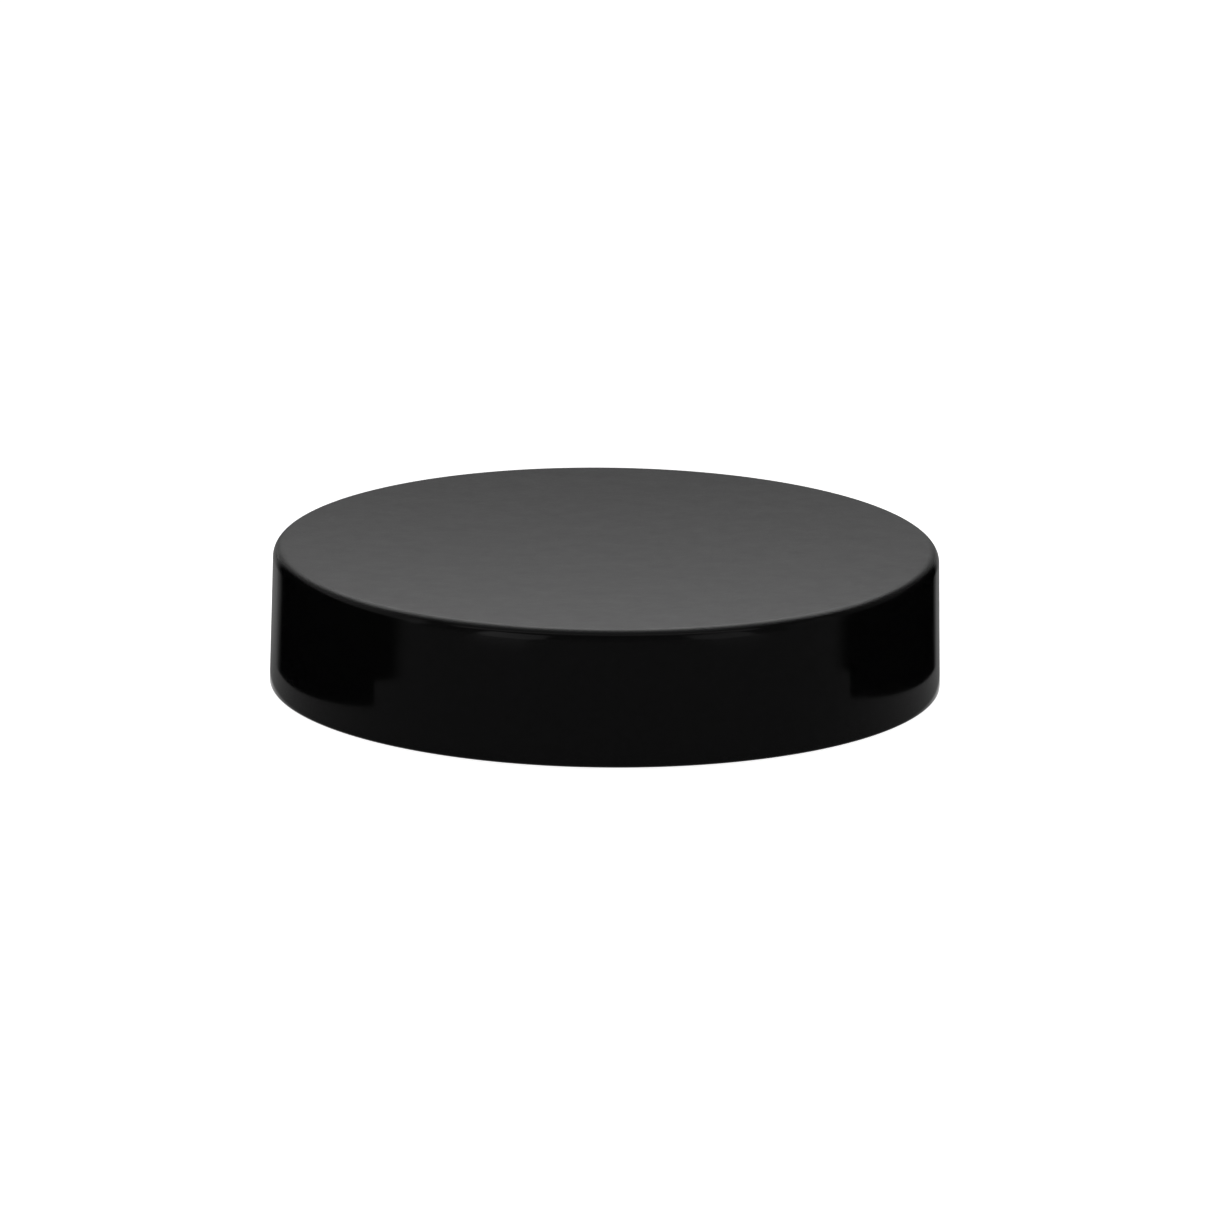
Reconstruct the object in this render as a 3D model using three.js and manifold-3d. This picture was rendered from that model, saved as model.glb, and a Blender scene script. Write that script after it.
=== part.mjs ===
// A low screw cap for a wide-mouth jar: smooth gloss skirt, flat satin top, and a loose foam liner
// that a broken bead holds up under the top panel. Millimetres, +Z up. The cap stands on its open
// rim, which is at z = 0, and the Z axis is the axis of the screw.
import * as THREE from "three";
import { mergeVertices } from "three/addons/utils/BufferGeometryUtils.js";
import Module from "manifold-3d";

const wasm = await Module();
wasm.setup();

// ---- driving dimensions --------------------------------------------------------------------

const RIM_DIAMETER = 91.6; // outside, at the open rim
const HEIGHT = 19.0;
const DRAFT = THREE.MathUtils.degToRad(1.0); // the skirt narrows upwards by this angle
const WALL = 1.0; // skirt
const PANEL = 1.5; // flat top
const TOP_EDGE_RADIUS = 1.6;
const RIM_EDGE_RADIUS = 0.25;
const POCKET_CORNER_RADIUS = 0.4; // inside, between skirt and panel
const LEAD_IN = { width: 0.25, height: 1.0 }; // chamfer inside the rim

// One right-hand thread of the 400 kind: five threads to the inch.
const THREAD = {
  pitch: 25.4 / 5,
  turns: 1.5,
  startHeight: 4.7, // middle of the thread at its lower end
  depth: 1.25,
  below: 1.2, // half widths at the back, inside the wall
  above: 1.2,
  crestWidth: 0.9,
  runOut: 15, // degrees over which each end sinks into the wall
};

// The bead that keeps the liner in, broken into short arcs so that the liner snaps past it. It has
// a long ramp below the crest and a steeper one above.
const BEAD = { arcs: 6, sweep: 40, depth: 0.75, below: 1.0, above: 0.7, crestWidth: 0.2, runOut: 10 };

// A foam disc that lies loose between the bead and the panel.
const LINER = { diameter: 88.4, thickness: 1.0, gap: 0.3 };

const SEGMENTS = 72; // round the axis
const ARC_STEPS = 3; // half the steps in each small radius of the profile
const BITE = 0.5; // how far the back of a thread or bead lies inside the wall
const SUNK_END = 0.15; // share of a rib's full depth that is left at its sunk ends

// ---- derived heights and radii -------------------------------------------------------------

const RIM_RADIUS = RIM_DIAMETER / 2;
const PANEL_UNDERSIDE = HEIGHT - PANEL;
const LINER_UNDERSIDE = PANEL_UNDERSIDE - LINER.gap - LINER.thickness;
const BEAD_HEIGHT = LINER_UNDERSIDE - LINER.gap - BEAD.above; // middle of the bead's crest

const outerRadiusAt = (z) => RIM_RADIUS - z * Math.tan(DRAFT);
const innerRadiusAt = (z) => outerRadiusAt(z) - WALL;

// ---- materials -----------------------------------------------------------------------------

const blackPolypropylene = new THREE.MeshStandardMaterial({
  color: 0x0c0c0d,
  roughness: 0.14,
  metalness: 0,
});
const whiteFoam = new THREE.MeshStandardMaterial({
  color: 0xf0efea,
  roughness: 0.6,
  metalness: 0,
});

// ---- solids --------------------------------------------------------------------------------

// A closed three.js geometry as a manifold-3d solid.
function toSolid(geometry) {
  const bare = new THREE.BufferGeometry();
  bare.setAttribute("position", geometry.getAttribute("position").clone());
  bare.setIndex(geometry.index);
  const merged = mergeVertices(bare, 1e-4);
  const corners = merged.index.array;
  const kept = [];
  for (let i = 0; i < corners.length; i += 3) {
    const [a, b, c] = corners.slice(i, i + 3);
    if (a !== b && b !== c && c !== a) kept.push(a, b, c); // a lathe leaves slivers on its axis
  }
  return new wasm.Manifold(
    new wasm.Mesh({
      numProp: 3,
      vertProperties: new Float32Array(merged.getAttribute("position").array),
      triVerts: new Uint32Array(kept),
    }),
  );
}

// A manifold-3d solid as a three.js geometry.
function toGeometry(solid) {
  const mesh = solid.getMesh();
  const geometry = new THREE.BufferGeometry();
  geometry.setAttribute("position", new THREE.BufferAttribute(mesh.vertProperties, 3));
  geometry.setIndex(new THREE.BufferAttribute(mesh.triVerts, 1));
  return geometry;
}

// Half section of the bare shell, from the axis under the panel, round the rim, to the axis on top.
function shellProfile() {
  const rimEdge = {
    x: RIM_RADIUS - RIM_EDGE_RADIUS * (Math.tan(DRAFT) + 1 / Math.cos(DRAFT)),
    y: RIM_EDGE_RADIUS,
  };
  const topEdge = {
    x: outerRadiusAt(HEIGHT - TOP_EDGE_RADIUS) - TOP_EDGE_RADIUS / Math.cos(DRAFT),
    y: HEIGHT - TOP_EDGE_RADIUS,
  };
  const corner = {
    x: innerRadiusAt(PANEL_UNDERSIDE - POCKET_CORNER_RADIUS) - POCKET_CORNER_RADIUS / Math.cos(DRAFT),
    y: PANEL_UNDERSIDE - POCKET_CORNER_RADIUS,
  };
  const outline = new THREE.Path();
  outline.moveTo(0, PANEL_UNDERSIDE);
  outline.lineTo(corner.x, PANEL_UNDERSIDE);
  outline.absarc(corner.x, corner.y, POCKET_CORNER_RADIUS, Math.PI / 2, DRAFT, true);
  outline.lineTo(innerRadiusAt(LEAD_IN.height), LEAD_IN.height);
  outline.lineTo(innerRadiusAt(0) + LEAD_IN.width, 0);
  outline.absarc(rimEdge.x, rimEdge.y, RIM_EDGE_RADIUS, -Math.PI / 2, DRAFT, false);
  outline.absarc(topEdge.x, topEdge.y, TOP_EDGE_RADIUS, DRAFT, Math.PI / 2, false);
  outline.lineTo(0, HEIGHT);
  return outline.getPoints(ARC_STEPS);
}

// A rib on the inside of the skirt. The section is a shape with x as depth, from the rib's back
// inside the wall to its crest, and y as height. It is extruded straight, then bent round the axis
// from one angle to another while it climbs, and its ends sink into the wall. Its rings fall half
// way between the wall's edges, so that no edge of one lies along an edge of the other.
function ribSolid({ section, fromDegrees, toDegrees, startHeight, climb, runOut }) {
  const sweep = toDegrees - fromDegrees;
  const steps = Math.round((sweep * SEGMENTS) / 360);
  const straight = new THREE.ExtrudeGeometry(section, { depth: 1, steps, bevelEnabled: false });
  const points = straight.getAttribute("position");
  for (let i = 0; i < points.count; i++) {
    const along = points.getZ(i);
    const degreesToEnd = Math.min(along, 1 - along) * sweep;
    const full = THREE.MathUtils.smoothstep(degreesToEnd, 0, runOut);
    const depth = points.getX(i) * THREE.MathUtils.lerp(SUNK_END, 1, full);
    const angle = THREE.MathUtils.degToRad(fromDegrees + along * sweep) + Math.PI / SEGMENTS;
    const z = startHeight + climb * along + points.getY(i);
    const radius = innerRadiusAt(z) + BITE - depth;
    points.setXYZ(i, radius * Math.cos(angle), radius * Math.sin(angle), z);
  }
  return toSolid(straight);
}

// A rib's section: a long edge inside the wall and a short one at the crest.
function ribSection({ depth, below, above, crestWidth }) {
  const crest = BITE + depth;
  return new THREE.Shape([
    new THREE.Vector2(0, -below),
    new THREE.Vector2(crest, -crestWidth / 2),
    new THREE.Vector2(crest, crestWidth / 2),
    new THREE.Vector2(0, above),
  ]);
}

function threadSolid() {
  return ribSolid({
    section: ribSection(THREAD),
    fromDegrees: 0,
    toDegrees: 360 * THREAD.turns,
    startHeight: THREAD.startHeight,
    climb: THREAD.pitch * THREAD.turns,
    runOut: THREAD.runOut,
  });
}

// The beads are evenly spaced, and one of the gaps between them lies across the +X axis.
function beadSolids() {
  return Array.from({ length: BEAD.arcs }, (_, i) => {
    const middle = ((i + 0.5) * 360) / BEAD.arcs;
    return ribSolid({
      section: ribSection(BEAD),
      fromDegrees: middle - BEAD.sweep / 2,
      toDegrees: middle + BEAD.sweep / 2,
      startHeight: BEAD_HEIGHT,
      climb: 0,
      runOut: BEAD.runOut,
    });
  });
}

// ---- the two pieces ------------------------------------------------------------------------

// The moulding: panel, skirt, thread and retaining bead are one shot of plastic.
function capShell() {
  const bare = new THREE.LatheGeometry(shellProfile(), SEGMENTS).rotateX(Math.PI / 2);
  const ribs = [threadSolid(), ...beadSolids()];
  const moulding = ribs.reduce((solid, rib) => solid.add(rib), toSolid(bare));
  const mesh = new THREE.Mesh(toGeometry(moulding), blackPolypropylene);
  mesh.name = "cap_shell";
  return mesh;
}

function liner() {
  const radius = LINER.diameter / 2;
  const disc = new THREE.CylinderGeometry(radius, radius, LINER.thickness, SEGMENTS);
  const mesh = new THREE.Mesh(disc.rotateX(Math.PI / 2), whiteFoam);
  mesh.name = "liner";
  mesh.position.z = LINER_UNDERSIDE + LINER.thickness / 2;
  return mesh;
}

const cap = new THREE.Group();
cap.add(capShell(), liner());

export default cap;
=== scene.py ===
import math

import bpy
import numpy as np
from mathutils import Matrix, Vector


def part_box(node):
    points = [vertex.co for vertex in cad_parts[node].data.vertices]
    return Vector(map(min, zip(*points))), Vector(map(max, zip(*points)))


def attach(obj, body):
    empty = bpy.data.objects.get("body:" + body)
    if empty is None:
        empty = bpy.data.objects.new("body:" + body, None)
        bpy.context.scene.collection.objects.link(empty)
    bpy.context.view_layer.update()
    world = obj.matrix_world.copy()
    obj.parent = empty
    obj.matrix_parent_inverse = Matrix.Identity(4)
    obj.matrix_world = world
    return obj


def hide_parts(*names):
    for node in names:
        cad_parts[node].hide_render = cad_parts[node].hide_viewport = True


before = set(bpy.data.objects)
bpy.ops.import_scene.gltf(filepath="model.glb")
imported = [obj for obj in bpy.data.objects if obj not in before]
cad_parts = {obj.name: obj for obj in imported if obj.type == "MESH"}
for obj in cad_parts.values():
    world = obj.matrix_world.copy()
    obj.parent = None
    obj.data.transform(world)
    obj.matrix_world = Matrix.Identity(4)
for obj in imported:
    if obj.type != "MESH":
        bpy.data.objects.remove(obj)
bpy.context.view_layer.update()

# A black, smooth-sided, satin-topped screw cap for a wide-mouth jar, standing on its open rim.
# +Z is the axis of the screw. The object is in millimetres, turned into metres where a mesh or a
# material is made. The studio and the camera are in metres.

MM = 0.001

# ---- sizes ---------------------------------------------------------------------------------

SHELL_HIGH = np.array(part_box("cap_shell")[1]) / MM
LINER_LOW, LINER_HIGH = [np.array(corner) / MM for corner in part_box("liner")]

DRAFT = math.radians(1.0)
WALL = 1.0
PANEL = 1.5
TOP_EDGE = 1.6
RIM_EDGE = 0.25
LEAD_IN = {"width": 0.25, "height": 1.0, "edge": 0.1}
POCKET_CORNER = 0.4

HEIGHT = SHELL_HIGH[2]
WIDEST = SHELL_HIGH[0]
UNDERSIDE = HEIGHT - PANEL

# Where the straight side of the skirt would meet the floor, if the rim had no round edge.
RIM_RADIUS = WIDEST + RIM_EDGE * (math.tan(DRAFT) + 1 / math.cos(DRAFT) - 1)

# below and above are a rib's half widths where its flanks meet the wall. Azimuths, sweeps and
# run-outs are in degrees.
THREAD = {
    "start": 4.7,  # height of its middle at its lower end
    "start_azimuth": 2.5,
    "pitch": 25.4 / 5,  # five threads to the inch
    "turns": 1.5,
    "depth": 1.25,
    "below": 0.986,
    "above": 0.986,
    "half_crest": 0.45,
    "root_fillet": 0.2,
    "crest_fillet": 0.22,
    "run_out": 17.0,
}
BEAD = {
    "middle": LINER_LOW[2] - 1.0,  # half the bead, and 0.3 of free play for the liner
    "depth": 0.75,
    "below": 0.64,
    "above": 0.46,
    "half_crest": 0.1,
    "root_fillet": 0.15,
    "crest_fillet": 0.12,
    "arcs": 6,
    "sweep": 40.0,
    "first_azimuth": 32.5,
    "run_out": 10.0,
}

# The liner's cut edge, from its face to its middle: how far in from the full radius, and how far
# from the face. The skins are pinched a little, and the foam bulges between them.
CUT_EDGE = ((0.9, 0.0), (0.35, 0.01), (0.12, 0.03), (0.06, 0.07), (0.03, 0.14), (0.0, 0.35))

AROUND = 360  # columns of the fine meshes
PLAIN_ROWS = 3  # rows of plain wall between one pass of the thread and the next
SKIRT_STEPS = 8  # steps up the straight outside of the skirt

# Radii of the rings on the flat faces. They make no shape, but those close to a round edge keep
# the smooth shading flat up to it.
POCKET_RINGS = (6, 20, 34, 42, 43.8)
TOP_MARGINS = (0.3, 1.5)  # the top's first two rings, measured in from its round edge
TOP_RINGS = (36, 24, 12, 4)
LINER_RINGS = (6, 18, 30, 38)


def outer_radius(z):
    return RIM_RADIUS - z * math.tan(DRAFT)


def inner_radius(z):
    return outer_radius(z) - WALL


def smoothstep(low, high, x):
    t = np.clip((x - low) / (high - low), 0.0, 1.0)
    return t * t * (3 - 2 * t)


# ---- mesh building -------------------------------------------------------------------------

# Column 0 stands half a turn past the thread's lower start, so that the rows that follow the
# thread can start and end in level rings below and above it.
COLUMN_ZERO = math.radians(THREAD["start_azimuth"] + 180.0)
AZIMUTHS = COLUMN_ZERO + 2 * math.pi * np.arange(AROUND) / AROUND


class Surface:
    """Collects points (millimetres) and faces, ring by ring."""

    def __init__(self):
        self.points = []
        self.faces = []

    def point(self, radius, azimuth, z):
        self.points.append((radius * math.cos(azimuth), radius * math.sin(azimuth), z))
        return len(self.points) - 1

    def ring(self, radius, z):
        """A level ring. radius is a number, or one number for each column."""
        radii = np.broadcast_to(radius, (AROUND,))
        return [self.point(r, a, z) for r, a in zip(radii, AZIMUTHS)]

    def face(self, *corners):
        """A face, without any corner that repeats the one before it."""
        kept = [c for i, c in enumerate(corners) if c != corners[i - 1]]
        if len(kept) > 2:
            self.faces.append(kept)

    def join(self, first, second):
        """Quads from one ring to the next along the profile, with the solid on the left."""
        for i in range(AROUND):
            j = (i + 1) % AROUND
            self.face(first[i], first[j], second[j], second[i])

    def fan(self, centre, ring, rising):
        """Triangles between a ring and a point on the axis, facing up if rising, else down."""
        for i in range(AROUND):
            j = (i + 1) % AROUND
            if rising:
                self.face(ring[i], ring[j], centre)
            else:
                self.face(centre, ring[j], ring[i])

    def lathe(self, profile, start=None):
        """Rings through (radius, z) points, joined in turn, and to a ring before them if given."""
        rings = [self.ring(r, z) for r, z in profile]
        chain = ([start] if start else []) + rings
        for first, second in zip(chain, chain[1:]):
            self.join(first, second)
        return rings

    def to_object(self, name):
        mesh = bpy.data.meshes.new(name)
        mesh.from_pydata([tuple(c * MM for c in p) for p in self.points], [], self.faces)
        mesh.validate()
        for polygon in mesh.polygons:
            polygon.use_smooth = True
        made = bpy.data.objects.new(name, mesh)
        bpy.context.scene.collection.objects.link(made)
        return made


def arc(centre, radius, start, end, steps):
    """Points on an arc in the profile plane, ends included; angles in degrees from +radius."""
    angles = np.radians(np.linspace(start, end, steps + 1))
    return [(centre[0] + radius * math.cos(a), centre[1] + radius * math.sin(a)) for a in angles]


def fillet(before, corner, after, radius, steps):
    """Points that round the corner of a polyline."""
    b, c, a = np.array(before), np.array(corner), np.array(after)
    u = (b - c) / np.linalg.norm(b - c)
    v = (a - c) / np.linalg.norm(a - c)
    half = math.acos(float(np.clip(u @ v, -1, 1))) / 2
    reach = radius / math.tan(half)
    centre = c + (u + v) / np.linalg.norm(u + v) * radius / math.sin(half)
    first, last = c + u * reach - centre, c + v * reach - centre
    total = math.acos(float(np.clip(first @ last / radius**2, -1, 1)))
    made = []
    for t in np.linspace(0, 1, steps + 1):
        w0 = math.sin((1 - t) * total) / math.sin(total)
        w1 = math.sin(t * total) / math.sin(total)
        made.append(tuple(centre + w0 * first + w1 * last))
    return made


def rib_section(rib, steps):
    """Height and depth pairs across a rib, from below it to above it, with every edge round."""
    depth, half_crest = rib["depth"], rib["half_crest"]
    below, above = -rib["below"], rib["above"]
    wall_run = 1.0  # plain wall on either side, for the outer fillets to start from
    line = [(below - wall_run, 0), (below, 0), (-half_crest, depth)]
    line += [(half_crest, depth), (above, 0), (above + wall_run, 0)]
    root, crest = rib["root_fillet"], rib["crest_fillet"]
    made = []
    for i, radius in enumerate([root, crest, crest, root]):
        made += fillet(line[i], line[i + 1], line[i + 2], radius, steps)
    return made


# ---- the moulding --------------------------------------------------------------------------


def bead_rings(surface):
    """Rings down the wall past the broken bead."""
    period = 360.0 / BEAD["arcs"]
    turned = np.degrees(AZIMUTHS) - BEAD["first_azimuth"]
    from_middle = np.abs((turned + period / 2) % period - period / 2)
    strength = smoothstep(0, BEAD["run_out"], BEAD["sweep"] / 2 - from_middle)
    rings = []
    for dz, depth in reversed(rib_section(BEAD, steps=4)):
        z = BEAD["middle"] + dz
        rings.append(surface.ring(inner_radius(z) - depth * strength, z))
    return rings


def threaded_wall(surface):
    """The wall with the thread on it, between two level rings. The rows climb with the thread, one
    pitch in a turn, so a row that leaves the last column meets a row one pitch higher in the first.
    A wedge of rows below and above takes up the climb. Returns the upper and lower rings."""
    pitch = THREAD["pitch"]
    low = LEAD_IN["height"]
    section = rib_section(THREAD, steps=5)
    # Heights in column 0, in pitches above low. The first pass of rows stands half a turn before
    # the thread's start there, so half a pitch below it, and the next pass has the thread on it.
    middle = (THREAD["start"] - low) / pitch - 0.5
    offsets = [0.0] + [middle + dz / pitch for dz, _ in section]
    depths = [0.0] + [depth for _, depth in section]
    offsets += list(np.linspace(offsets[-1], 1.0, PLAIN_ROWS + 2)[1:-1])
    depths += [0.0] * PLAIN_ROWS
    rows_per_pitch = len(offsets)
    top_row = rows_per_pitch + len(section)

    def offset(row):
        return offsets[row % rows_per_pitch] + row // rows_per_pitch

    high = low + pitch * (offset(top_row) + 1)

    def wall_point(turned, z, depth=0.0):
        azimuth = COLUMN_ZERO + 2 * math.pi * turned
        return surface.point(inner_radius(z) - depth, azimuth, z)

    def thread_depth(row, turned):
        passed = turned * 360 + (180 if row >= rows_per_pitch else -180)
        left = 360 * THREAD["turns"] - passed
        strength = smoothstep(0, THREAD["run_out"], min(passed, left))
        return depths[row % rows_per_pitch] * float(strength)

    first = []
    for row in range(top_row + rows_per_pitch + 1):
        depth = thread_depth(row, 0.0) if row <= top_row else 0.0
        first.append(wall_point(0.0, low + pitch * offset(row), depth))

    # Each column is split into the wedge below, the rows that climb, and the wedge above. The
    # last column is the first one again, one pitch further up its rows.
    below = [[first[0]] * (rows_per_pitch + 1)]
    main = [first[: top_row + 1]]
    above = [first[top_row:]]
    for column in range(1, AROUND):
        turned = column / AROUND
        body = []
        for row in range(top_row + 1):
            z = low + pitch * (offset(row) + turned)
            body.append(wall_point(turned, z, thread_depth(row, turned)))
        main.append(body)
        wedge = []
        for row in range(rows_per_pitch):
            wedge.append(wall_point(turned, low + pitch * turned * offset(row)))
        below.append(wedge + [body[0]])
        last = low + pitch * (offset(top_row) + turned)
        wedge = []
        for row in range(1, rows_per_pitch + 1):
            share = offset(top_row + row) - offset(top_row)
            wedge.append(wall_point(turned, last + (high - last) * share))
        above.append([body[-1]] + wedge)
    below.append(first[: rows_per_pitch + 1])
    main.append(first[rows_per_pitch:])
    above.append([first[-1]] * (rows_per_pitch + 1))

    for patch in (below, main, above):
        for left, right in zip(patch, patch[1:]):
            for row in range(len(left) - 1):
                surface.face(left[row + 1], right[row + 1], right[row], left[row])
    upper = [column[-1] for column in above[:AROUND]]
    lower = [column[0] for column in below[:AROUND]]
    return upper, lower


def cap_shell():
    surface = Surface()
    draft = math.degrees(DRAFT)

    # panel underside, out to the pocket's corner
    corner_z = UNDERSIDE - POCKET_CORNER
    corner_r = inner_radius(corner_z) - POCKET_CORNER / math.cos(DRAFT)
    pocket = [(r, UNDERSIDE) for r in POCKET_RINGS]
    pocket += arc((corner_r, corner_z), POCKET_CORNER, 90, draft, steps=6)
    pocket_rings = surface.lathe(pocket)
    surface.fan(surface.point(0, 0, UNDERSIDE), pocket_rings[0], rising=False)

    # down the inside of the skirt
    chain = [pocket_rings[-1], *bead_rings(surface)]
    upper, lower = threaded_wall(surface)
    chain.append(upper)
    for first, second in zip(chain, chain[1:]):
        surface.join(first, second)

    # lead-in chamfer, rim, outside of the skirt, top edge and top
    lead_top = (inner_radius(LEAD_IN["height"]), LEAD_IN["height"])
    lead_bottom = (inner_radius(0) + LEAD_IN["width"], 0.0)
    rim_r = RIM_RADIUS - RIM_EDGE * (math.tan(DRAFT) + 1 / math.cos(DRAFT))
    profile = fillet(lead_top, lead_bottom, (rim_r, 0.0), LEAD_IN["edge"], steps=3)
    profile += arc((rim_r, RIM_EDGE), RIM_EDGE, -90, draft, steps=8)
    top_z = HEIGHT - TOP_EDGE
    for z in np.linspace(RIM_EDGE, top_z, SKIRT_STEPS + 1)[1:-1]:
        profile.append((outer_radius(z), z))
    top_r = outer_radius(top_z) - TOP_EDGE / math.cos(DRAFT)
    profile += arc((top_r, top_z), TOP_EDGE, draft, 90, steps=16)
    profile += [(top_r - margin, HEIGHT) for margin in TOP_MARGINS]
    profile += [(r, HEIGHT) for r in TOP_RINGS]
    outside = surface.lathe(profile, start=lower)
    surface.fan(surface.point(0, 0, HEIGHT), outside[-1], rising=True)
    return surface.to_object("cap_shell_fine")


# ---- the liner -----------------------------------------------------------------------------


def liner():
    """A disc punched from foam sheet."""
    surface = Surface()
    radius = LINER_HIGH[0]
    low, high = LINER_LOW[2], LINER_HIGH[2]
    profile = [(r, low) for r in LINER_RINGS]
    profile += [(radius - inset, low + rise) for inset, rise in CUT_EDGE]
    profile += [(radius - inset, high - rise) for inset, rise in reversed(CUT_EDGE)]
    profile += [(r, high) for r in reversed(LINER_RINGS)]
    rings = surface.lathe(profile)
    surface.fan(surface.point(0, 0, low), rings[0], rising=False)
    surface.fan(surface.point(0, 0, high), rings[-1], rising=True)
    return surface.to_object("liner_fine")


# ---- materials -----------------------------------------------------------------------------


class Nodes:
    """A short way to write a node tree."""

    def __init__(self, name):
        self.material = bpy.data.materials.new(name)
        self.material.use_nodes = True
        self.tree = self.material.node_tree
        self.shader = self.tree.nodes["Principled BSDF"]

    def add(self, kind, inputs=None, **settings):
        node = self.tree.nodes.new(kind)
        for key, value in settings.items():
            setattr(node, key, value)
        for key, value in (inputs or {}).items():
            self.put(node.inputs[key], value)
        return node

    def put(self, socket, value):
        if isinstance(value, bpy.types.NodeSocket):
            self.tree.links.new(value, socket)
        else:
            socket.default_value = value

    def shade(self, **inputs):
        """Sets inputs of the shader, with an underscore for each space in a name."""
        for name, value in inputs.items():
            self.put(self.shader.inputs[name.replace("_", " ")], value)

    def output(self, socket):
        self.put(self.tree.nodes["Material Output"].inputs["Surface"], socket)

    def math(self, operation, a, b=0.0, c=0.0):
        return self.add("ShaderNodeMath", {0: a, 1: b, 2: c}, operation=operation).outputs[0]

    def noise(self, point, scale, detail=2.0, roughness=0.5):
        inputs = {"Vector": point, "Scale": scale, "Detail": detail, "Roughness": roughness}
        return self.add("ShaderNodeTexNoise", inputs).outputs["Fac"]

    def cells(self, point, scale):
        inputs = {"Vector": point, "Scale": scale, "Randomness": 1.0}
        return self.add("ShaderNodeTexVoronoi", inputs).outputs["Distance"]

    def spread(self, value, from_low, from_high, to_low, to_high, smooth=False):
        kind = "SMOOTHSTEP" if smooth else "LINEAR"
        inputs = {
            "Value": value,
            "From Min": from_low,
            "From Max": from_high,
            "To Min": to_low,
            "To Max": to_high,
        }
        node = self.add("ShaderNodeMapRange", inputs, interpolation_type=kind)
        return node.outputs[0]

    def vary(self, noise, low, high):
        """Low to high over the middle of a noise, between 0.3 and 0.7, where most of it lies."""
        return self.spread(noise, 0.3, 0.7, low, high)

    def blend(self, share, a, b):
        """a where share is 0, b where it is 1."""
        node = self.add("ShaderNodeMix", {0: share, 2: a, 3: b}, data_type="FLOAT")
        return node.outputs[0]

    def tint(self, share, a, b):
        """As blend, for colours."""
        node = self.add("ShaderNodeMix", {0: share, 6: a, 7: b}, data_type="RGBA")
        return node.outputs[2]

    def bump(self, height):
        """Bumps of this height in metres."""
        node = self.add("ShaderNodeBump", {"Height": height, "Distance": 1.0, "Strength": 1.0})
        self.shade(Normal=node.outputs[0])

    def place(self):
        """The object's own coordinates in metres, whole and as x, y and z."""
        point = self.add("ShaderNodeTexCoord").outputs["Object"]
        return point, *self.add("ShaderNodeSeparateXYZ", {0: point}).outputs

    def from_axis(self, x, y):
        squared = self.math("ADD", self.math("MULTIPLY", x, x), self.math("MULTIPLY", y, y))
        return self.math("SQRT", squared)


def black_polypropylene():
    """Spark-eroded satin on the flat top, a polish on the outside and a plain finish inside."""
    n = Nodes("black_polypropylene")
    point, x, y, z = n.place()

    # The satin ends part of the way down the round top edge.
    satin_low, satin_high = (HEIGHT - 0.74) * MM, (HEIGHT - 0.14) * MM
    satin = n.spread(z, satin_low, satin_high, 0.0, 1.0, smooth=True)

    # The inner finish starts on the rim, and ends within the thickness of the panel. The radius is
    # taken down the draft to the foot, so that it is the same all the way up a wall.
    foot_radius = n.math("MULTIPLY_ADD", z, math.tan(DRAFT), n.from_axis(x, y))
    inner_edge, outer_edge = (RIM_RADIUS - WALL) * MM, (RIM_RADIUS - 0.6 * WALL) * MM
    inside = n.spread(foot_radius, inner_edge, outer_edge, 1.0, 0.0, smooth=True)
    panel_low, panel_high = (UNDERSIDE + 0.1) * MM, (UNDERSIDE + 0.4) * MM
    inside = n.math("MULTIPLY", inside, n.spread(z, panel_low, panel_high, 1.0, 0.0))

    # Noise scales are per metre, so the grain is about 0.3 mm across and the blotches 1.4 mm.
    grain = n.noise(point, 3400.0, detail=3.0, roughness=0.6)
    blotch = n.noise(point, 700.0, detail=3.0, roughness=0.6)
    flow = n.noise(point, 90.0, detail=1.0)
    haze = n.noise(point, 260.0, detail=4.0, roughness=0.6)

    satin_rough = n.vary(haze, 0.42, 0.48)
    gloss_rough = n.vary(haze, 0.08, 0.12)
    inner_rough = n.vary(haze, 0.22, 0.30)
    rough = n.blend(inside, gloss_rough, inner_rough)
    rough = n.blend(satin, rough, satin_rough)

    dark = (0.0012, 0.0012, 0.0013, 1.0)
    light = (0.0020, 0.0020, 0.0022, 1.0)
    n.shade(Base_Color=n.tint(n.vary(blotch, 0, 1), dark, light), Roughness=rough, IOR=1.49)

    satin_height = n.math("MULTIPLY", grain, 0.030 * MM)
    satin_height = n.math("MULTIPLY_ADD", blotch, 0.020 * MM, satin_height)
    gloss_height = n.math("MULTIPLY", flow, 0.006 * MM)
    n.bump(n.blend(satin, gloss_height, satin_height))
    return n.material


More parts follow.
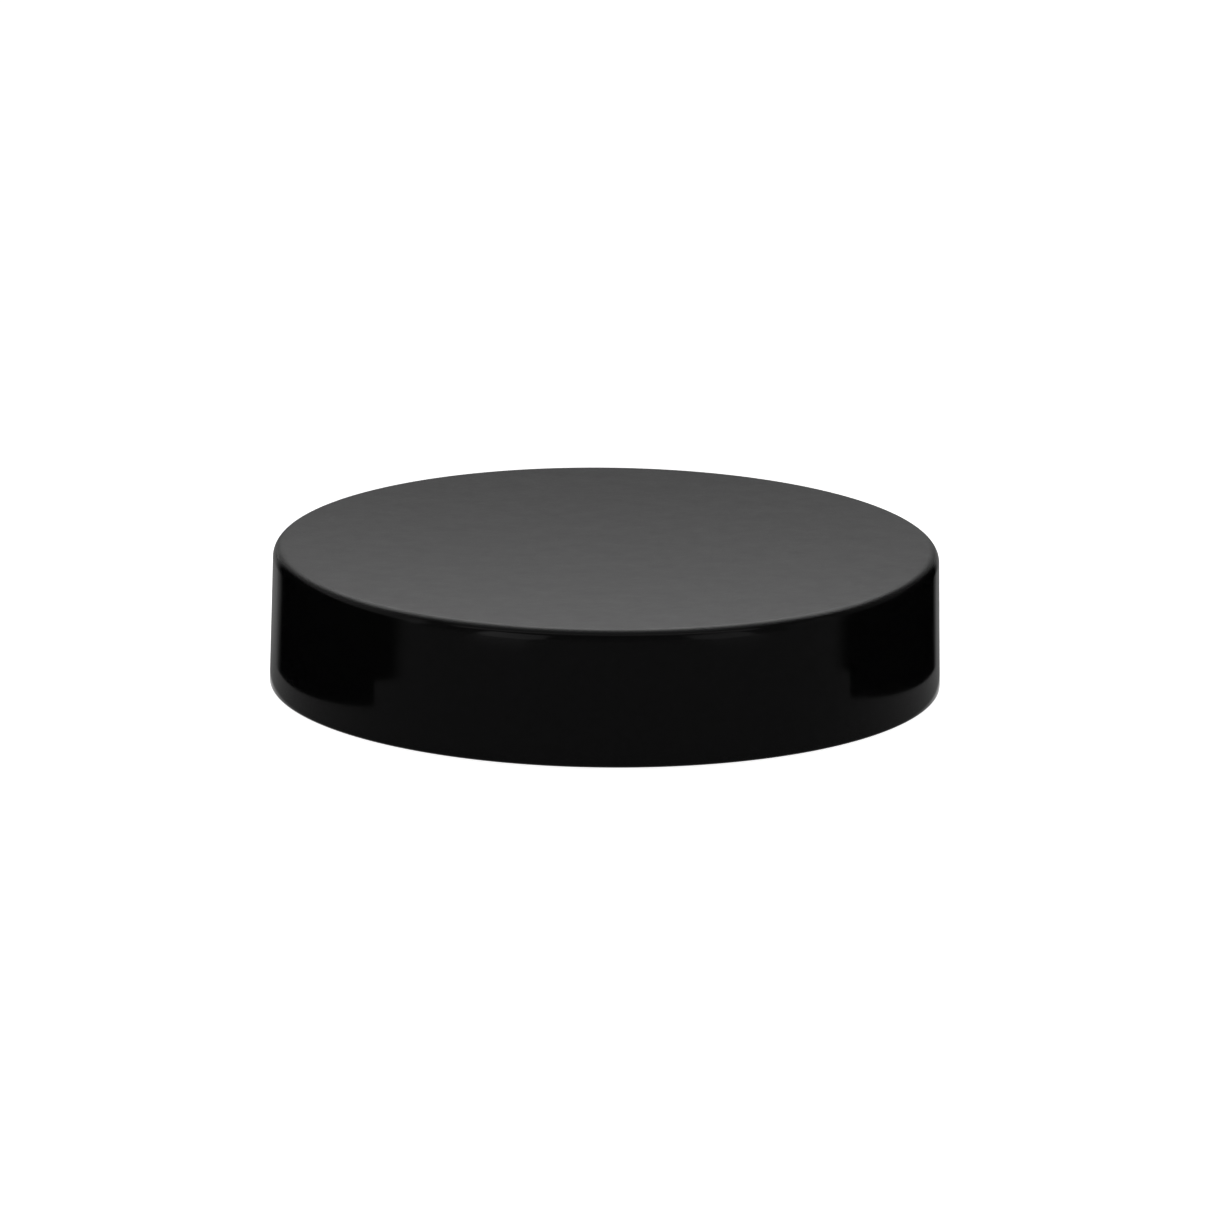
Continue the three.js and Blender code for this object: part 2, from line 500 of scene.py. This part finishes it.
def white_foam():
    """Polyethylene foam with thin solid skins. The faces are smooth, with shallow dimples over the
    cells and faint lines the way the sheet was drawn. The cells are open at the cut edge."""
    n = Nodes("white_foam")
    point, _, _, z = n.place()
    low, high = LINER_LOW[2] * MM, LINER_HIGH[2] * MM
    skin, skin_start = 0.1 * MM, 0.07 * MM
    over = n.spread(z, low + skin_start, low + skin, 0.0, 1.0, smooth=True)
    under = n.spread(z, high - skin, high - skin_start, 1.0, 0.0, smooth=True)
    core = n.math("MULTIPLY", over, under)

    drawn = n.add("ShaderNodeVectorMath", {0: point, 1: (0.04, 1.0, 1.0)}, operation="MULTIPLY")
    lines = n.noise(drawn.outputs[0], 1100.0, detail=3.0, roughness=0.6)
    bubbles = n.cells(point, 1300.0)
    open_cells = n.cells(point, 3600.0)
    cloud = n.noise(point, 45.0, detail=2.0)

    face_dark, face_light = (0.82, 0.815, 0.785, 1), (0.87, 0.865, 0.84, 1)
    # The cut edge is painted darker down in its open cells: painted shade in their hollows.
    cut_pore_shade, cut_light = (0.62, 0.61, 0.57, 1), (0.88, 0.87, 0.83, 1)
    shade = n.math("MULTIPLY_ADD", cloud, 0.5, n.math("MULTIPLY", lines, 0.5))
    face = n.tint(n.vary(shade, 0, 1), face_dark, face_light)
    cut = n.tint(n.spread(open_cells, 0.0, 0.6, 0, 1), cut_pore_shade, cut_light)
    rough = n.blend(core, n.vary(lines, 0.42, 0.50), 0.85)
    n.shade(Base_Color=n.tint(core, face, cut), Roughness=rough, IOR=1.5)
    n.shade(Subsurface_Weight=0.25, Subsurface_Scale=0.4 * MM)

    face_height = n.math("MULTIPLY", bubbles, 0.06 * MM)
    face_height = n.math("MULTIPLY_ADD", lines, 0.016 * MM, face_height)
    cut_height = n.math("MULTIPLY", open_cells, 0.08 * MM)
    n.bump(n.blend(core, face_height, cut_height))
    return n.material


# ---- studio --------------------------------------------------------------------------------

# Metres. Azimuths here are in degrees from -Y towards +X, and -Y is the front.

WORLD_GLOW = {"on_object": 0.06, "in_view": 0.95}

# The floor's glow rises between two distances from the axis. It is dimmer under the cap, as a
# painted shadow of the cap, and nearly as white as the world outside it.
FLOOR = {"radius": 12.0, "sides": 96, "z": -0.0001, "fade": (0.038, 0.0455), "glow": (0.55, 0.94)}

# The table that reflections see. Its glow rises from the front to the rear, between two values
# of y.
TABLE = {"reach": 3.0, "z": -0.0004, "fade": (-0.04, 0.05), "glow": (0.085, 0.22)}
CONTACT = {"width": 1.2 * MM, "glow": 0.8}  # a thin bright ring round the foot of the cap

# Faint patches on the table, each from one azimuth to another. They fade in between two distances
# from the axis, and over an angle at their sides.
PATCHES = ({"from": -42, "to": -20, "glow": 0.25}, {"from": 29, "to": 51, "glow": 0.16})
PATCH_FADE = (0.11, 0.20)
PATCH_SOFT = 5  # degrees

# Heights on a flag: its foot, the top of its notch, where its lit part starts, and its top.
FLAG_HEIGHTS = (-0.0002, 0.0035, 0.0252, 0.045)
FLAG_FRONT_FADE = 0.0075  # the length of its front end that fades into the table
FLAG_BLUR = 0.001  # the lit part fades in over this much above and below where it starts

FLAGS = (
    # name, front end, rear end, length of the notch, fade at the rear, glow of the lit part
    ("flag_left", (-0.0535, -0.0462), (-0.0515, 0.0090), 0.0115, 0.008, 0.14),
    ("flag_right", (0.0631, -0.0370), (0.0506, 0.0124), 0.0075, 0.005, 0.05),
)
DISTANT_CARDS = (
    # name, azimuths of its two sides, heights, glow at each side
    ("front_left", (-43, -20), (0.0, 0.75), (0.42, 0.22)),
    ("front_right", (29, 51), (0.0, 0.75), (0.20, 0.26)),
    ("side_left", (-118, -66), (0.10, 0.60), (0.12, 0.22)),
    ("side_right", (66, 118), (0.10, 0.60), (0.10, 0.10)),
)
SOFT_LIGHTS = (
    # name, place, direction it faces, size, power in watts
    ("near_softbox", (0, 0.18, 0.253), (0, -0.9926, 0.1217), (1.31, 0.25), 2.45),
    ("rear_softbox", (0, 0.9, 0.28), (0, -1, 0), (2.4, 0.45), 1.2),
    ("front_top", (0, -0.5, 0.87), (0, 0.5, -0.87), (1.8, 0.2), 0.22),
    ("overhead", (0, 0.15, 1.2), (0, 0, -1), (1.6, 1.0), 0.8),
)


def plane(name, corners):
    mesh = bpy.data.meshes.new(name)
    mesh.from_pydata([tuple(c) for c in corners], [], [tuple(range(len(corners)))])
    made = bpy.data.objects.new(name, mesh)
    bpy.context.scene.collection.objects.link(made)
    return made


def floor():
    """A pale paper floor, seen from above only, so that the cap can be looked at from below."""
    azimuths = np.linspace(0, 2 * math.pi, FLOOR["sides"] + 1)[:-1]
    radius, z = FLOOR["radius"], FLOOR["z"]
    made = plane("floor", [(radius * math.cos(a), radius * math.sin(a), z) for a in azimuths])
    made.visible_glossy = False
    n = Nodes("floor_paper")
    point, x, y, _ = n.place()
    mottle = n.noise(point, 30.0, detail=3.0)
    paper = n.tint(mottle, (0.86, 0.86, 0.86, 1), (0.88, 0.88, 0.88, 1))
    # The glow is lower under the cap: a painted shadow of the cap on the floor.
    glow = n.spread(n.from_axis(x, y), *FLOOR["fade"], *FLOOR["glow"], smooth=True)
    n.shade(Base_Color=paper, Roughness=0.9, Specular_IOR_Level=0.0)
    n.shade(Emission_Color=(1, 1, 1, 1), Emission_Strength=glow)
    below = n.add("ShaderNodeNewGeometry").outputs["Backfacing"]
    clear = n.add("ShaderNodeBsdfTransparent").outputs[0]
    mixed = n.add("ShaderNodeMixShader", {0: below, 1: n.shader.outputs[0], 2: clear})
    n.output(mixed.outputs[0])
    made.data.materials.append(n.material)


def glowing_card(name, corners, strength):
    """An emitting card that only reflections see, as a flag or reflector outside the picture.
    strength takes the nodes and the x, y and z sockets, and returns a socket."""
    card = plane(name, corners)
    card.visible_camera = False
    card.visible_diffuse = False
    card.visible_shadow = False
    card.visible_transmission = False
    n = Nodes(name + "_glow")
    _, x, y, z = n.place()
    glow = n.add("ShaderNodeEmission", {"Color": (1, 1, 1, 1), "Strength": strength(n, x, y, z)})
    n.output(glow.outputs[0])
    n.tree.nodes.remove(n.shader)
    card.data.materials.append(n.material)


def table_glow(n, y):
    return n.spread(y, *TABLE["fade"], *TABLE["glow"], smooth=True)


def table_card():
    """What the polished skirt sees of the table: dim in front, lighter behind, with two faint
    patches in front that lead up to the front cards."""
    reach, level = TABLE["reach"], TABLE["z"]
    signs = ((-1, -1), (1, -1), (1, 1), (-1, 1))
    corners = [(reach * a, reach * b, level) for a, b in signs]

    def strength(n, x, y, z):
        total = table_glow(n, y)
        azimuth = n.math("ARCTAN2", x, n.math("MULTIPLY", y, -1.0))
        distance = n.from_axis(x, y)
        foot = RIM_RADIUS * MM
        contact = n.spread(distance, foot, foot + CONTACT["width"], CONTACT["glow"], 0.0)
        total = n.math("ADD", total, contact)
        far = n.spread(distance, *PATCH_FADE, 0.0, 1.0, smooth=True)
        soft = math.radians(PATCH_SOFT)
        for patch in PATCHES:
            start, end = math.radians(patch["from"]), math.radians(patch["to"])
            rising = n.spread(azimuth, start, start + soft, 0.0, patch["glow"], smooth=True)
            falling = n.spread(azimuth, end - soft, end, 1.0, 0.0, smooth=True)
            total = n.math("MULTIPLY_ADD", n.math("MULTIPLY", rising, falling), far, total)
        return total

    glowing_card("table_card", corners, strength)


def distant_card(name, azimuths, heights, glows):
    """An upright card whose two sides stand a metre from the axis, with a glow for each side."""
    low, high = heights
    start, end = [(math.sin(a), -math.cos(a)) for a in np.radians(azimuths)]
    corners = [(*start, low), (*end, low), (*end, high), (*start, high)]

    def strength(n, x, y, z):
        return n.spread(y, start[1], end[1], *glows)

    glowing_card(name, corners, strength)


def flag(name, front, rear, notch, rear_fade, upper_glow):
    """A card beside the cap, black below and faintly lit above. front and rear are its ends on the
    floor plan. A notch of that length is cut out of its lower front corner, and its ends fade into
    the glow of the table."""
    (x0, y0), (x1, y1) = front, rear
    share = notch / (y1 - y0)
    x2, y2 = x0 + (x1 - x0) * share, y0 + notch
    low, knee, lit, high = FLAG_HEIGHTS
    outline = [(x2, y2, low), (x1, y1, low), (x1, y1, high)]
    outline += [(x0, y0, high), (x0, y0, knee), (x2, y2, knee)]

    def strength(n, x, y, z):
        at_front = n.spread(y, y0, y0 + FLAG_FRONT_FADE, 1.0, 0.0, smooth=True)
        at_rear = n.spread(y, y1 - rear_fade, y1, 0.0, 1.0, smooth=True)
        upper = n.spread(z, lit - FLAG_BLUR, lit + FLAG_BLUR, 0.0, upper_glow, smooth=True)
        return n.math("MULTIPLY_ADD", n.math("MAXIMUM", at_front, at_rear), table_glow(n, y), upper)

    glowing_card(name, outline, strength)


def soft_light(name, place, facing, size, power):
    data = bpy.data.lights.new(name, "AREA")
    data.shape = "RECTANGLE"
    data.size, data.size_y = size
    data.energy = power
    made = bpy.data.objects.new(name, data)
    bpy.context.scene.collection.objects.link(made)
    made.location = place
    made.rotation_euler = Vector(facing).to_track_quat("-Z", "Y").to_euler()
    made.visible_camera = False


def surroundings():
    """A white world, bright in view and faint as a light."""
    scene = bpy.context.scene
    world = bpy.data.worlds.new("studio")
    scene.world = world
    world.use_nodes = True
    tree = world.node_tree
    background = tree.nodes["Background"]
    background.inputs["Color"].default_value = (1, 1, 1, 1)
    seen = tree.nodes.new("ShaderNodeLightPath").outputs["Is Camera Ray"]
    strength = tree.nodes.new("ShaderNodeMapRange")
    strength.inputs["To Min"].default_value = WORLD_GLOW["on_object"]
    strength.inputs["To Max"].default_value = WORLD_GLOW["in_view"]
    tree.links.new(seen, strength.inputs["Value"])
    tree.links.new(strength.outputs[0], background.inputs["Strength"])
    scene.view_settings.view_transform = "Standard"
    scene.view_settings.look = "None"


def studio():
    surroundings()
    floor()
    table_card()
    for settings in FLAGS:
        flag(*settings)
    for settings in DISTANT_CARDS:
        distant_card(*settings)
    for settings in SOFT_LIGHTS:
        soft_light(*settings)


# ---- camera --------------------------------------------------------------------------------

ELEVATION = math.radians(14.6)
ROLL = math.radians(0.6)
DISTANCE = 4.0
RIM_SHARE = 0.55239  # of the frame's width that the rim's diameter takes up
SHIFT = (0.0012356, 0.0063427)  # as shares of the frame's width
SENSOR = 36.0  # millimetres


def camera():
    """A long lens above the horizon, a little rolled, aimed near the middle of the cap."""
    frame_width = 2 * RIM_RADIUS * MM / RIM_SHARE
    data = bpy.data.cameras.new("camera")
    data.sensor_width = SENSOR
    data.lens = SENSOR * DISTANCE / frame_width
    data.clip_start = 0.1
    data.clip_end = 60.0
    data.shift_x, data.shift_y = SHIFT
    made = bpy.data.objects.new("camera", data)
    bpy.context.scene.collection.objects.link(made)
    centre = Vector((0, 0, HEIGHT / 2 * MM))
    back = Vector((0, -math.cos(ELEVATION), math.sin(ELEVATION)))
    turn = back.to_track_quat("Z", "Y").to_matrix() @ Matrix.Rotation(ROLL, 3, "Z")
    made.matrix_world = Matrix.Translation(centre + back * DISTANCE) @ turn.to_4x4()
    bpy.context.scene.camera = made


# ---- assembly ------------------------------------------------------------------------------


def finish_piece(piece, body, node, material):
    piece.data.materials.append(material)
    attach(piece, body)
    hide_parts(node)


finish_piece(cap_shell(), "cap", "cap_shell", black_polypropylene())
finish_piece(liner(), "liner_disc", "liner", white_foam())
studio()
camera()
